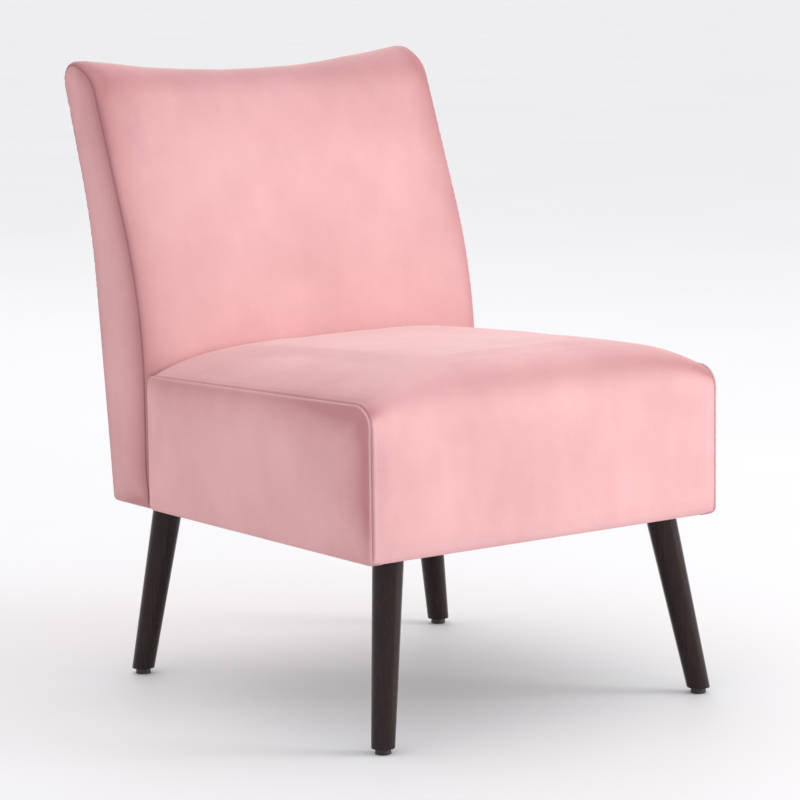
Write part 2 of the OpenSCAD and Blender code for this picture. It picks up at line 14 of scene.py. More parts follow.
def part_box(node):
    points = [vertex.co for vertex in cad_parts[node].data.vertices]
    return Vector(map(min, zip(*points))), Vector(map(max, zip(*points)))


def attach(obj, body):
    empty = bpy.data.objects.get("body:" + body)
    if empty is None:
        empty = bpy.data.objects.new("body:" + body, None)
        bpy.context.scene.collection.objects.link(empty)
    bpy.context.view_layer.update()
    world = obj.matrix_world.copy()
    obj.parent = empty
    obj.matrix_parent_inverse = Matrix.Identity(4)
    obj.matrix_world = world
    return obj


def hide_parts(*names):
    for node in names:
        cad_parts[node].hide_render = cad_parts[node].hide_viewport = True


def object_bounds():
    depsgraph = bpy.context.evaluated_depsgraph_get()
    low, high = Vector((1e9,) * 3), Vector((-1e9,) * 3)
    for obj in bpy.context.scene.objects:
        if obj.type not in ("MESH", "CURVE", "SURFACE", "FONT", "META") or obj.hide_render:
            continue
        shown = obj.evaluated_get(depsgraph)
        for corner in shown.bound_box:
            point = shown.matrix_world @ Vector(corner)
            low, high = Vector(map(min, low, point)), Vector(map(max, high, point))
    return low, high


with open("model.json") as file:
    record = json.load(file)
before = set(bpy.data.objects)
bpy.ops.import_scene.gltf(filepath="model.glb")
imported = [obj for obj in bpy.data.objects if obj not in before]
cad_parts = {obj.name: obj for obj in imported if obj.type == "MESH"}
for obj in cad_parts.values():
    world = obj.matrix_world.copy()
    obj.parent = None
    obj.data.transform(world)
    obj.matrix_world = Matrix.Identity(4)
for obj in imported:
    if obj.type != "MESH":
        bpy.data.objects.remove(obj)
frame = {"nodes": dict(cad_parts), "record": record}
cad_low, cad_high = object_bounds()
nodes = frame["nodes"]

# Sizes read from the frame
side_low, side_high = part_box("seat_cover_left")
HALF_W = -side_low.x
SEAT_Y, BACK_Y = side_low.y, side_high.y
UNDER, SEAT_TOP = side_low.z - 0.0012, side_high.z
CHAIR_TOP = cad_high.z

# Seat shape: how far the top falls to the rear, the crown over it at the front and rear and
# how flat it stays, the dome along it, and the radii of its side view's corners
SEAT_FALL = 0.017
CROWN_FRONT = 0.038
CROWN_REAR = 0.028
CROWN_POWER = 4.2
SEAT_DOME = 0.004
WATERFALL_R = 0.062
SIDE_FRONT_R = 0.030
REAR_R = 0.014
UNDER_R = 0.009
UNDER_FLAP = 0.018

# Corner between a strip and a side panel: radius, and the turn at which the seam sits
SEAT_HALF = HALF_W + 0.0035
SEAT_FRONT_CORNER = (0.0085, 0.25)
SEAT_TOP_CORNER = (0.0105, 0.50)
BACK_HALF = HALF_W - 0.0015
BACK_CORNER = (0.0070, 1.20)

# Back shape: each bend is a lean, the bend's height, its radius and the lean above it
FRONT_BEND = (0.0, 0.150, 0.640, 21.0)
REAR_BEND = (6.5, 0.300, 0.715, 18.0)
# Back shape: its thickness, the rolled top, the dip in it and the heights between which the
# dip grows, how far the surface falls at its side edges, and the rear top seam
BACK_T = 0.0970
ROLL_H = 0.038
ROLL_Z = CHAIR_TOP - ROLL_H
TOP_DIP = 0.022
DIP_HALF = 0.262
DIP_LEAN = math.tan(math.radians(19.5))
DIP_LOW, DIP_HIGH = 0.56, 0.79
FRONT_FALL = 0.0065
REAR_FALL = 0.0005
FALL_W = 0.065
REAR_SEAM_DROP = 0.068

# The velvet's thickness, its unevenness, and the stiffness of every simulated cloth
CLOTH_T = 0.0014
RIPPLE_H = 0.0006
CLOTH_STIFFNESS = 15
OUTLINE_STEP = 0.0025


# ---------------------------------------------------------------- mesh helpers


def add_mesh(name, points, faces):
    """A new smooth-shaded object from points and faces."""
    mesh = bpy.data.meshes.new(name)
    mesh.from_pydata([tuple(p) for p in points], [], faces)
    mesh.update()
    obj = bpy.data.objects.new(name, mesh)
    bpy.context.scene.collection.objects.link(obj)
    mesh.polygons.foreach_set("use_smooth", [True] * len(mesh.polygons))
    return obj


def grid_faces(rows, columns):
    """Quads of a grid of rows x columns points."""
    return [
        (i * columns + j, (i + 1) * columns + j, (i + 1) * columns + j + 1, i * columns + j + 1)
        for i in range(rows - 1)
        for j in range(columns - 1)
    ]


def ring_faces(rows, columns):
    """Quads of rows of points, each row a closed ring."""
    return [
        (
            i * columns + j,
            i * columns + (j + 1) % columns,
            (i + 1) * columns + (j + 1) % columns,
            (i + 1) * columns + j,
        )
        for i in range(rows - 1)
        for j in range(columns)
    ]


def grid_normals(points, facing):
    """Unit normals of a (rows, columns, 3) grid, turned so that its middle faces that way."""
    normal = np.cross(np.gradient(points, axis=0), np.gradient(points, axis=1))
    normal /= np.maximum(np.linalg.norm(normal, axis=2, keepdims=True), 1e-12)
    if normal[points.shape[0] // 2, points.shape[1] // 2] @ facing < 0:
        normal = -normal
    return normal


def reaches(points):
    """Length of a polyline up to each of its points."""
    return np.concatenate([[0], np.cumsum(np.linalg.norm(np.diff(points, axis=0), axis=1))])


def resample(points, count):
    """The polyline at count even steps, ends kept."""
    points = np.asarray(points, float)
    reach = reaches(points)
    at = np.linspace(0, reach[-1], count + 1)
    return np.stack([np.interp(at, reach, points[:, k]) for k in range(points.shape[1])], 1)


def even(points, spacing):
    """The polyline at even steps of about that spacing."""
    return resample(points, max(2, round(reaches(np.asarray(points))[-1] / spacing)))


def rounded(points, passes):
    """The open polyline smoothed by that many passes, its ends kept."""
    points = np.array(points, float)
    for _ in range(passes):
        points[1:-1] = points[1:-1] * 0.5 + (points[:-2] + points[2:]) * 0.25
    return points


def outward(points, middle):
    """In-plane unit normals of an open polyline, pointing away from middle."""
    tangent = np.gradient(points, axis=0)
    return turned_out(tangent, points, middle)


def loop_outward(loop):
    """In-plane unit normals of a closed polyline, pointing out."""
    return turned_out(np.roll(loop, -1, 0) - np.roll(loop, 1, 0), loop, loop.mean(0))


def turned_out(tangent, points, middle):
    """Unit normals of the tangents, on the side away from middle."""
    normal = np.stack([tangent[:, 1], -tangent[:, 0]], 1)
    normal /= np.maximum(np.linalg.norm(normal, axis=1, keepdims=True), 1e-12)
    return normal if ((points - middle) * normal).sum() > 0 else -normal


def step(low, high, value):
    """0 below low, 1 above high and smooth between."""
    t = np.clip((value - low) / (high - low), 0, 1)
    return t * t * (3 - 2 * t)


def nearest(points, line):
    """Distance of each point in a plane from the nearest point of a line."""
    found = np.empty(len(points))
    for start in range(0, len(points), 2000):
        part = points[start : start + 2000]
        gap = np.linalg.norm(part[:, None] - line[None], axis=2)
        found[start : start + 2000] = gap.min(1)
    return found


def bilinear(field, u, v):
    """Values of a 2D field at fractional rows u and columns v."""
    i = np.clip(np.floor(u).astype(int), 0, field.shape[0] - 2)
    j = np.clip(np.floor(v).astype(int), 0, field.shape[1] - 2)
    a, b = np.clip(u - i, 0, 1), np.clip(v - j, 0, 1)
    low = field[i, j] * (1 - b) + field[i, j + 1] * b
    high = field[i + 1, j] * (1 - b) + field[i + 1, j + 1] * b
    return low * (1 - a) + high * a


def ripples(a, b, seed):
    """A soft unevenness between about -1 and 1 over two coordinates in metres."""
    random = np.random.default_rng(seed)
    total = 0
    for wave in (0.190, 0.130, 0.085, 0.060):
        for _ in range(3):
            turn, phase = random.uniform(0, math.pi), random.uniform(0, 2 * math.pi)
            along = a * math.cos(turn) + b * math.sin(turn)
            total = total + wave * np.sin(2 * math.pi * along / wave + phase)
    return total / 0.7


def finish_mesh(obj, facing):
    """Joins points that meet, drops faces with no area, and turns the faces to facing."""
    bm = bmesh.new()
    bm.from_mesh(obj.data)
    bmesh.ops.remove_doubles(bm, verts=bm.verts, dist=0.00008)
    bmesh.ops.dissolve_degenerate(bm, edges=bm.edges, dist=0.00003)
    bmesh.ops.recalc_face_normals(bm, faces=bm.faces)
    if sum(f.normal.dot(facing) * f.calc_area() for f in bm.faces) < 0:
        bmesh.ops.reverse_faces(bm, faces=bm.faces)
    bm.to_mesh(obj.data)
    bm.free()
    obj.data.polygons.foreach_set("use_smooth", [True] * len(obj.data.polygons))


def apply_modifier(obj, modifier):
    bpy.context.view_layer.objects.active = obj
    bpy.ops.object.modifier_apply(modifier=modifier.name)


def thicken(obj, thickness):
    """Gives an open surface its thickness, inwards, as a closed shell."""
    solid = obj.modifiers.new("shell", "SOLIDIFY")
    solid.thickness, solid.offset = thickness, -1
    apply_modifier(obj, solid)


def set_attribute(obj, name, values):
    """Stores a float for each vertex, for the material."""
    layer = obj.data.attributes.new(name, "FLOAT", "POINT")
    layer.data.foreach_set("value", np.asarray(values, np.float32).ravel())


# ---------------------------------------------------------------- cloth simulation


PANEL_FRAMES = 14


def run_cloth(obj, pressure, frames, pinned=None):
    """Lets an object swell as cloth under pressure, and returns its points afterwards."""
    if pinned is not None:
        group = obj.vertex_groups.new(name="pinned")
        group.add([int(i) for i in np.flatnonzero(pinned)], 1.0, "REPLACE")
    cloth = obj.modifiers.new("swell", "CLOTH")
    settings = cloth.settings
    settings.quality = 6
    settings.mass = 0.3
    settings.tension_stiffness = settings.compression_stiffness = CLOTH_STIFFNESS
    settings.shear_stiffness = CLOTH_STIFFNESS / 3
    settings.bending_stiffness = 0.5
    settings.effector_weights.gravity = 0
    settings.use_pressure = True
    settings.uniform_pressure_force = pressure
    if pinned is not None:
        settings.vertex_group_mass = "pinned"
    cloth.collision_settings.use_collision = False
    cloth.point_cache.frame_end = frames
    for number in range(1, frames + 1):
        bpy.context.scene.frame_set(number)
    shape = obj.evaluated_get(bpy.context.evaluated_depsgraph_get()).to_mesh()
    points = np.empty(len(shape.vertices) * 3)
    shape.vertices.foreach_get("co", points)
    obj.modifiers.remove(cloth)
    bpy.context.scene.frame_set(1)
    return points.reshape(-1, 3)


def swollen_grid(points, pinned, pressure, cap):
    """How far a grid held at its pinned points swells under the padding's pressure."""
    rows, columns = points.shape[:2]
    obj = add_mesh("swelling", points.reshape(-1, 3), grid_faces(rows, columns))
    moved = run_cloth(obj, pressure, PANEL_FRAMES, pinned.ravel()) - points.reshape(-1, 3)
    bpy.data.objects.remove(obj)
    length = np.linalg.norm(moved, axis=1, keepdims=True)
    moved *= np.minimum(1, cap / np.maximum(length, 1e-9))
    return moved.reshape(rows, columns, 3)


# ---------------------------------------------------------------- seams


def seam_dip(distance, depth, width):
    """How a seam pulls the velvet in, at a distance from it."""
    return -depth * np.exp(-((distance / width) ** 2))


def gathers(distance, along, height, seed):
    """Small puckers beside a seam, fading away from it."""
    random = np.random.default_rng(seed)
    wave = sum(
        np.sin(2 * math.pi * along / pitch + random.uniform(0, 2 * math.pi))
        for pitch in (0.0085, 0.0113, 0.0170)
    )
    return height * wave / 3 * np.exp(-(((distance - 0.003) / 0.0035) ** 2))


# ---------------------------------------------------------------- strips

# Distances of a strip's columns from its corner, and the step of the columns between
FINE_COLUMNS = np.array([0.6, 1.3, 2.1, 3, 4.2, 5.6, 7.5, 10, 13, 17, 21, 26]) / 1000
COLUMN_STEP = 0.005
ARC_COLUMNS = 14


def strip_columns(half, radius, angle):
    """Across a strip, for each row's corner: x, the corner's inset and the seam's distance."""
    turn = angle[:, None] * np.linspace(1, 0, ARC_COLUMNS)[None]
    radius, angle = radius[:, None], angle[:, None]
    reach = half - radius
    middle = np.arange(FINE_COLUMNS[-1] + COLUMN_STEP, half - 0.02, COLUMN_STEP)
    inner = np.concatenate([FINE_COLUMNS, middle])[None] + 0 * reach
    x = np.concatenate([reach + radius * np.sin(turn), reach - inner], 1)
    inset = np.concatenate([radius * (1 - np.cos(turn)), 0 * inner], 1)
    seam = np.concatenate([(angle - turn) * radius, angle * radius + inner], 1)
    x = np.concatenate([x, 0 * reach, -x[:, ::-1]], 1)
    inset = np.concatenate([inset, 0 * reach, inset[:, ::-1]], 1)
    seam = np.concatenate([seam, half + 0 * reach, seam[:, ::-1]], 1)
    return x, inset, seam


def strip_mesh(name, points, normals, lift, seam, nap, facing):
    """A strip's velvet, its points moved along their normals by lift and by its swelling."""
    rows, columns = points.shape[:2]
    pick_rows = np.unique(np.linspace(0, rows - 1, rows // 6).astype(int))
    spread = points[rows // 2, :, 0]
    wanted = np.linspace(spread[0], spread[-1], int(abs(spread[0] - spread[-1]) / 0.011))
    pick_columns = np.unique([int(np.argmin(np.abs(spread - x))) for x in wanted])
    coarse = points[np.ix_(pick_rows, pick_columns)]
    pinned = np.zeros(coarse.shape[:2], bool)
    pinned[[0, 1, -2, -1]] = True
    pinned[:, [0, -1]] = True
    moved = swollen_grid(coarse, pinned, STRIP_PRESSURE, STRIP_SWELL)
    out = normals[np.ix_(pick_rows, pick_columns)]
    height = np.maximum(0, (moved * out).sum(2))
    u = np.interp(np.arange(rows), pick_rows, np.arange(len(pick_rows)))[:, None] + 0 * seam
    v = np.interp(np.arange(columns), pick_columns, np.arange(len(pick_columns)))[None] + 0 * seam
    points = points + normals * (lift + bilinear(height, u, v))[:, :, None]
    obj = add_mesh(name, points.reshape(-1, 3), grid_faces(rows, columns))
    set_attribute(obj, "seam", seam)
    # The painted shade goes to the material as a float for each vertex.
    set_attribute(obj, "nap", nap)
    finish_mesh(obj, facing)
    return obj


# ---------------------------------------------------------------- side panels

# Rings inside the corner and how they crowd towards it, and the hem folded under the chair
RINGS = 34
RING_POWER = 1.8
ARC_RINGS = 14
HEM_RINGS = 4
HEM = 0.016
HEM_DROP = 0.0004
SEAM_DEPTH = 0.0018


def side_panel(name, side, halves, spine, corner, half, shape):
    """A side panel, in rings that run from its seam to its spine.
    halves are the two open outlines that meet at both ends; corner gives each outline
    point's radius and seam turn; shape holds the fall, the roundness and the swelling."""
    count = len(halves[0]) - 1
    loop = np.concatenate([halves[0], halves[1][-2:0:-1]])
    normal = loop_outward(loop)
    radius, angle = corner(loop)
    under = step(0.3, 0.95, -normal[:, 1])
    fall = shape["fall"](loop)
    angle = angle * (1 - under)
    turns = np.linspace(0, 1, ARC_RINGS)
    last = math.pi / 2 - shape["slope"]
    points, outs, seam = [], [], []
    for reach in np.linspace(HEM, 0, HEM_RINGS + 1)[:-1]:
        inset = (fall + radius * (1 - np.cos(angle))) * (1 - under) - HEM_DROP * under
        across = half - radius * (1 - np.sin(angle)) - reach * under
        points.append(np.column_stack([across, loop - normal * inset[:, None]]))
        outs.append(np.column_stack([np.sin(angle), normal * np.cos(angle)[:, None]]))
        seam.append(0 * radius)
    for share in turns:
        turn = angle + (last - angle) * share
        inset = fall * (1 - under) + radius * (1 - np.cos(turn))
        place = loop - normal * inset[:, None]
        points.append(np.column_stack([half - radius + radius * np.sin(turn), place]))
        outs.append(np.column_stack([np.sin(turn), normal * np.cos(turn)[:, None]]))
        seam.append((turn - angle) * radius)
    edge = points[-1].copy()
    start = edge[:, 1:]
    centre = spine(start[: count + 1])
    centre = np.concatenate([centre, centre[-2:0:-1]])
    span = np.linalg.norm(centre - start, axis=1)
    for k in range(1, RINGS + 1):
        share = (k / RINGS) ** RING_POWER
        points.append(np.column_stack([edge[:, 0], start + (centre - start) * share]))
        points[-1][:, 0] = points[-1][:, 0] * (1 - share) + edge[:, 0].mean() * share
        outs.append(np.column_stack([np.ones(len(loop)), np.zeros((len(loop), 2))]))
        seam.append(seam[HEM_RINGS + ARC_RINGS - 1] + span * share)
    rings = len(points)
    faces = ring_faces(rings, len(loop))
    points, outs, seam = np.concatenate(points), np.concatenate(outs), np.concatenate(seam)
    inner = nearest(points[:, 1:], start)
    inner[: (HEM_RINGS + ARC_RINGS) * len(loop)] = 0
    along = np.tile(reaches(np.concatenate([loop, loop[:1]]))[:-1], rings)
    width = shape["round_w"]
    rise = width * math.tan(shape["slope"])
    lift = rise * (1 - np.exp(-inner / width))
    lift = lift + panel_swell(points, start, shape) * step(0, 0.03, inner)
    weight = np.tile(shape["seamed"](loop), rings)
    lift = lift + seam_dip(seam, SEAM_DEPTH, 0.0014) * weight
    lift = lift + gathers(seam, along, shape["pucker"], shape["seed"]) * weight
    lift = lift + 0.0005 * ripples(points[:, 1], points[:, 2], shape["seed"]) * step(0, 0.04, inner)
    points = points + outs * lift[:, None]
    points[:, 0] *= side
    obj = add_mesh(name, points, faces)
    set_attribute(obj, "seam", seam)
    # Painted shade beside the seam, fading inwards and kept off a lighter rim next to the seam, over
    # painted shade across the whole panel.
    edge_painted_shade = np.tile(shape["nap"](loop), rings) * np.exp(-inner / shape["painted_shade_w"])
    edge_painted_shade = edge_painted_shade * step(0.4 * shape["rim"], shape["rim"], seam)
    set_attribute(obj, "nap", np.clip(edge_painted_shade + shape["painted_shade_all"], 0, 1))
    finish_mesh(obj, Vector((side, 0, 0)))
    return obj


def panel_swell(points, outline, shape):
    """How far a flat panel held at its outline swells, at each of the points."""
    low, high = outline.min(0), outline.max(0)
    size = np.maximum(6, np.round((high - low) / 0.010).astype(int))
    y, z = (np.linspace(low[k], high[k], size[k] + 1) for k in (0, 1))
    grid = np.stack(np.meshgrid(y, z, indexing="ij"), 2)
    flat = grid.reshape(-1, 2)
    held = (nearest(flat, outline) < 0.006) | ~inside(flat, outline)
    grid = np.concatenate([np.zeros(grid.shape[:2] + (1,)), grid], 2)
    moved = swollen_grid(grid, held.reshape(grid.shape[:2]), shape["pressure"], shape["swell"])
    height = np.abs(moved[:, :, 0])
    u = (points[:, 1] - low[0]) / (high[0] - low[0]) * size[0]
    v = (points[:, 2] - low[1]) / (high[1] - low[1]) * size[1]
    return bilinear(height, u, v)


def inside(points, outline):
    """Which points in a plane lie inside a closed outline."""
    found = np.zeros(len(points), bool)
    following = np.roll(outline, -1, 0)
    for a, b in zip(outline, following):
        crosses = (a[1] > points[:, 1]) != (b[1] > points[:, 1])
        if crosses.any():
            where = a[0] + (points[:, 1] - a[1]) * (b[0] - a[0]) / (b[1] - a[1] + 1e-15)
            found ^= crosses & (points[:, 0] < where)
    return found


# ---------------------------------------------------------------- the seat's shape

STRIP_PRESSURE = 3.0
STRIP_SWELL = 0.004
QUARTER = np.linspace(0, math.pi / 2, 31)


def seat_top_z(y, x):
    """Height of the seat's top: it falls to the rear, and is crowned from side to side."""
    share = (y - SEAT_Y) / (BACK_Y - SEAT_Y)
    crown = CROWN_FRONT + (CROWN_REAR - CROWN_FRONT) * share
    across = np.minimum(1, np.abs(x) / (HALF_W - SEAT_TOP_CORNER[0]))
    dome = SEAT_DOME * math.sin(math.pi * min(1, max(0, share)))
    return SEAT_TOP - SEAT_FALL * share + (crown + dome) * (1 - across**CROWN_POWER)


def bottom_corner(y, inwards):
    """The turn from under an edge at y up to its face, and the flap before it."""
    depth = y + inwards * UNDER_R * (1 - np.sin(QUARTER))
    height = UNDER + UNDER_R * (1 - np.cos(QUARTER))
    flap = [[y + inwards * (UNDER_R + UNDER_FLAP), UNDER]]
    return np.concatenate([flap, np.stack([depth, height], 1)])


def seat_profile(x):
    """The strip's side view at x, from under the front, over the top, to under the rear."""
    across = min(1.0, abs(x) / (HALF_W - SEAT_TOP_CORNER[0]))
    front_r = WATERFALL_R + (SIDE_FRONT_R - WATERFALL_R) * across**3
    front_z = seat_top_z(SEAT_Y + front_r, x) - front_r
    rear_z = seat_top_z(BACK_Y - REAR_R, x) - REAR_R
    front = [SEAT_Y + front_r * (1 - np.cos(QUARTER)), front_z + front_r * np.sin(QUARTER)]
    rear = [BACK_Y - REAR_R * (1 - np.sin(QUARTER)), rear_z + REAR_R * np.cos(QUARTER)]
    top = [[y, seat_top_z(y, x)] for y in np.linspace(SEAT_Y + front_r, BACK_Y - REAR_R, 30)[1:-1]]
    low_front, low_rear = bottom_corner(SEAT_Y, 1), bottom_corner(BACK_Y, -1)[::-1]
    return np.concatenate([low_front, np.stack(front, 1), top, np.stack(rear, 1), low_rear])


# Where seat_profile's pieces end, and the rows given to each: flap, turn, face, corner ...
SEAT_BREAKS = (0, 1, 31, 32, 62, 91, 121, 122, 152, 153)
SEAT_ROWS = (6, 8, 44, 30, 130, 14, 44, 8, 6)


def seat_rows(x):
    """seat_profile with the same rows at every x."""
    profile = seat_profile(x)
    pieces = [
        resample(profile[a : b + 1], count)[:-1]
        for a, b, count in zip(SEAT_BREAKS[:-1], SEAT_BREAKS[1:], SEAT_ROWS)
    ]
    return rounded(np.concatenate(pieces + [profile[-1:]]), 3)


def seat_corner(line):
    """Radius and seam turn of the seat's corner at points of its side outline."""
    share = (line[:, 0] - SEAT_Y) / (BACK_Y - SEAT_Y)
    top = SEAT_TOP - SEAT_FALL * np.clip(share, 0, 1)
    weight = step(-0.020, -0.001, line[:, 1] - top)
    weight = weight * (1 - step(BACK_Y - 0.050, BACK_Y - 0.010, line[:, 0]))
    (r0, a0), (r1, a1) = SEAT_FRONT_CORNER, SEAT_TOP_CORNER
    return r0 + (r1 - r0) * weight, a0 + (a1 - a0) * weight


def seat_strip():
    """The seat cover's centre strip: under, front, top and rear."""
    edge = seat_rows(HALF_W)
    radius, angle = seat_corner(edge)
    x, inset, seam = strip_columns(SEAT_HALF, radius, angle)
    columns = []
    for j in range(x.shape[1]):
        line = seat_rows(float(x[len(edge) // 2, j]))
        columns.append(line - outward(line, line.mean(0)) * inset[:, j, None])
    points = np.concatenate([x[:, :, None], np.stack(columns, 1)], 2)
    normals = grid_normals(points, np.array([0, 0, 1]))
    along = reaches(points[:, x.shape[1] // 2])[:, None] + 0 * seam
    low = step(UNDER + 0.004, UNDER + 0.03, points[:, :, 2])
    top, front = step(0.2, 0.8, normals[:, :, 2]), step(0.3, 0.9, -normals[:, :, 1])
    lift = seam_dip(seam, SEAM_DEPTH - 0.0004 * top, 0.0015 + 0.0035 * top)
    lift = lift + gathers(seam, along, 0.00025, 5) * (1 - 0.6 * top) * low
    loose = step(0, 0.05, seam) * low * (top + front)
    lift = lift + RIPPLE_H * ripples(points[:, :, 0], along, 11) * loose
    # Painted shade on the strip: along the top's side seams, most at the front; in a band over the
    # waterfall, more to the right; a little over all the top, and more over its right front.
    near_front = 1 - (points[:, :, 1] - SEAT_Y) / (BACK_Y - SEAT_Y)
    nap = (0.35 + 0.65 * near_front) * np.exp(-seam / 0.017) * top
    tilt = np.arctan2(normals[:, :, 2], -normals[:, :, 1])
    rightwards = points[:, :, 0] / SEAT_HALF
    waterfall = np.exp(-(((tilt - 0.62) / 0.36) ** 2)) * (points[:, :, 1] < 0)
    nap = nap + (0.40 + 0.16 * rightwards) * waterfall
    nap = np.clip(nap + 0.08 * top + 0.30 * step(0.25, 1.0, rightwards) * top * near_front, 0, 1)
    return strip_mesh("seat_velvet_strip", points, normals, lift, seam, nap, Vector((0, -0.3, 1)))


def seat_halves():
    """The seat's side outline in two open halves, over the top and under, rear to front."""
    profile = seat_profile(HALF_W)[1:-1][::-1]
    rear_middle = np.array([BACK_Y, (UNDER + SEAT_TOP - SEAT_FALL) / 2])
    front_middle = np.array([SEAT_Y, (UNDER + SEAT_TOP) / 2])
    bottom_rear = profile[profile[:, 1] < rear_middle[1]]
    high = profile[profile[:, 1] >= rear_middle[1]]
    rear_low = bottom_rear[bottom_rear[:, 0] > 0]
    front_low = bottom_rear[bottom_rear[:, 0] < 0]
    top = np.concatenate([[rear_middle], high[high[:, 1] > rear_middle[1] + 1e-6]])
    top = np.concatenate([top[top[:, 1] >= rear_middle[1]], [front_middle]])
    low = np.concatenate([[rear_middle], rear_low[::-1], front_low[::-1], [front_middle]])
    count = round(reaches(top)[-1] / OUTLINE_STEP)
    return resample(top, count), resample(low, count)


def seat_spine(points):
    """For each outline point, the point of the panel's middle line that it runs to."""
    y = np.clip(points[:, 0], SEAT_Y + 0.1, BACK_Y - 0.1)
    return np.stack([y, np.full(len(y), (UNDER + SEAT_TOP) / 2 - 0.004)], 1)


def seat_painted_shade(loop):
    """Painted shade along the side panel's edge: most at the front, little behind and below."""
    front = 1 - step(SEAT_Y + 0.02, SEAT_Y + 0.20, loop[:, 0])
    top = step(SEAT_TOP - 0.05, SEAT_TOP - 0.02, loop[:, 1])
    above = step(UNDER + 0.01, UNDER + 0.08, loop[:, 1])
    return (0.45 * top + 0.80 * front + 0.1) * (0.4 + 0.6 * above)


def back_painted_shade(loop):
    """Painted shade along the back's side panel: most beside the front seam."""
    depth = (loop[:, 0] - front_y(loop[:, 1])) / (rear_y(loop[:, 1]) - front_y(loop[:, 1]))
    return 0.30 + 0.60 * (1 - step(0.2, 0.8, depth))


def no_fall(loop):
    return np.zeros(len(loop))


def seamed(loop):
    """The share of the seam's dip and gathers: none under the chair."""
    return step(UNDER + 0.002, UNDER + 0.010, loop[:, 1])


def seat_seamed(loop):
    """As seamed, and a softer seam along the top than down the front."""
    _, angle = seat_corner(loop)
    upper = (angle - SEAT_FRONT_CORNER[1]) / (SEAT_TOP_CORNER[1] - SEAT_FRONT_CORNER[1])
    return seamed(loop) * (1 - 0.6 * upper)


# ---------------------------------------------------------------- the back's shape


def bent(z, lean_low, bend_h, radius, lean_high):
    """Offset at height z of a line that leans by lean_low, bends on an arc, then leans more."""
    low, high = math.radians(lean_low), math.radians(lean_high)
    z1 = UNDER + bend_h
    z2 = z1 + radius * (math.sin(high) - math.sin(low))
    y1 = bend_h * math.tan(low)
    y2 = y1 + radius * (math.cos(low) - math.cos(high))
    turn = np.clip(math.sin(low) + (z - z1) / radius, math.sin(low), math.sin(high))
    arc = y1 + radius * (math.cos(low) - np.sqrt(1 - turn**2))
    upper = np.where(z > z2, y2 + (z - z2) * math.tan(high), arc)
    return np.where(z < z1, (z - UNDER) * math.tan(low), upper)


def front_y(z):
    return BACK_Y + bent(np.asarray(z, float), *FRONT_BEND)


def rear_y(z):
    return BACK_Y + BACK_T + bent(np.asarray(z, float), *REAR_BEND)


def back_curve():
    """The whole side profile as an open curve: bottom front, over the roll, bottom rear."""
    heights = np.arange(UNDER + UNDER_R, ROLL_Z, OUTLINE_STEP)
    turn = np.linspace(0, math.pi, 60)
    middle = (front_y(ROLL_Z) + rear_y(ROLL_Z)) / 2
    half = (rear_y(ROLL_Z) - front_y(ROLL_Z)) / 2
    lean = DIP_LEAN * ROLL_H * np.sin(turn)
    roll = np.stack([middle - half * np.cos(turn) + lean, ROLL_Z + ROLL_H * np.sin(turn)], 1)
    front = np.stack([front_y(heights), heights], 1)
    rear = np.stack([rear_y(heights), heights], 1)
    return rounded(even(np.concatenate([front, roll, rear[::-1]]), OUTLINE_STEP), 10)


BACK_CURVE = back_curve()
BACK_APEX = int(np.argmax(BACK_CURVE[:, 1]))
BACK_MIDDLE = np.array([BACK_CURVE[:, 0].mean(), (UNDER + ROLL_Z) / 2])


def dipped(line, x):
    """The side profile at x, its top sliding down its own lean into the dip."""
    z = line[:, 1]
    drop = step(DIP_LOW, DIP_HIGH, z) * TOP_DIP * max(0.0, 1 - (x / DIP_HALF) ** 2)
    depth = np.clip((line[:, 0] - front_y(z)) / (rear_y(z) - front_y(z)), 0, 1)
    slide = (front_y(z) - front_y(z - drop)) * (1 - depth) + (rear_y(z) - rear_y(z - drop)) * depth
    return line - np.stack([slide, drop], 1)


def back_fall(points):
    """How far the back's surface falls away at its side edge: most on the front."""
    z = np.clip(points[:, 1], UNDER, ROLL_Z)
    depth = (points[:, 0] - front_y(z)) / (rear_y(z) - front_y(z))
    fall = FRONT_FALL + (REAR_FALL - FRONT_FALL) * step(0.3, 0.9, depth)
    return fall * step(UNDER + 0.010, UNDER + 0.060, points[:, 1])


def back_side_fall(points):
    return back_fall(points) * (1 - BACK_CORNER[0] / FALL_W) ** 2


